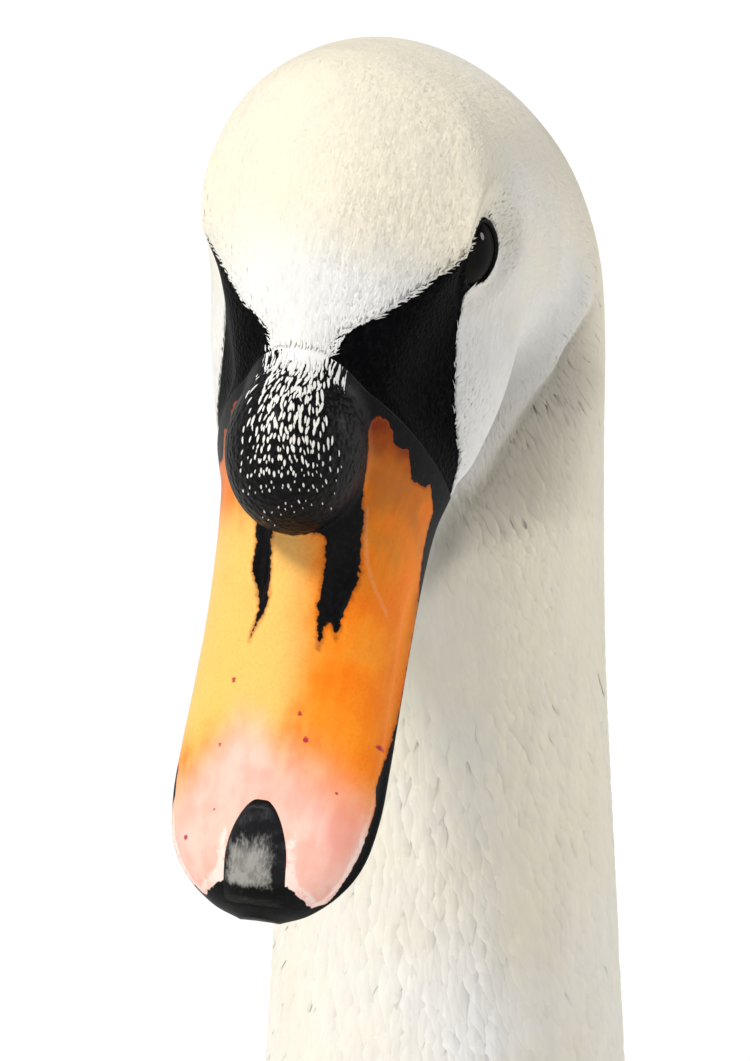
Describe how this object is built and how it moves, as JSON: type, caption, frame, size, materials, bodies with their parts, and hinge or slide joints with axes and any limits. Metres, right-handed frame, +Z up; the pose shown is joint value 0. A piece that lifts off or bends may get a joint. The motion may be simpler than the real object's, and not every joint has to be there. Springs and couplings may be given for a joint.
{
  "type": "mute swan",
  "caption": "Life-size mute swan, adult male, standing on webbed feet with folded wings, arched neck and the knobbed orange bill held down.",
  "frame": {"origin": "on the floor, under the middle of the whole swan's bounding box", "axes": "+Z up, the swan faces -Y, its left side is +X"},
  "size_m": [0.3524, 0.8362, 0.9644],
  "materials": {
    "plumage": "soft matt feathers",
    "eyeball": "wet gloss",
    "bill_skin": "smooth satin skin",
    "knob_skin": "granular satin skin",
    "horn": "worn horn",
    "leg_skin": "scaly matt skin"
  },
  "bodies": {
    "root": {"head": "plumage", "neck_upper": "plumage", "neck_middle": "plumage", "neck_lower": "plumage", "trunk": "plumage", "tail": "plumage", "wing_left": "plumage", "wing_right": "plumage", "primaries_left": "plumage", "primaries_right": "plumage", "thigh_left": "plumage", "thigh_right": "plumage", "eye_left": "eyeball", "eye_right": "eyeball", "bill_upper": "bill_skin", "bill_knob": "knob_skin", "bill_nail": "horn", "bill_lower": "horn", "shank_left": "leg_skin", "shank_right": "leg_skin", "foot_left": "leg_skin", "foot_right": "leg_skin", "hind_toe_left": "leg_skin", "hind_toe_right": "leg_skin", "claw_left_1": "horn", "claw_left_2": "horn", "claw_left_3": "horn", "claw_left_hind": "horn", "claw_right_1": "horn", "claw_right_2": "horn", "claw_right_3": "horn", "claw_right_hind": "horn"}
  },
  "joints": []
}
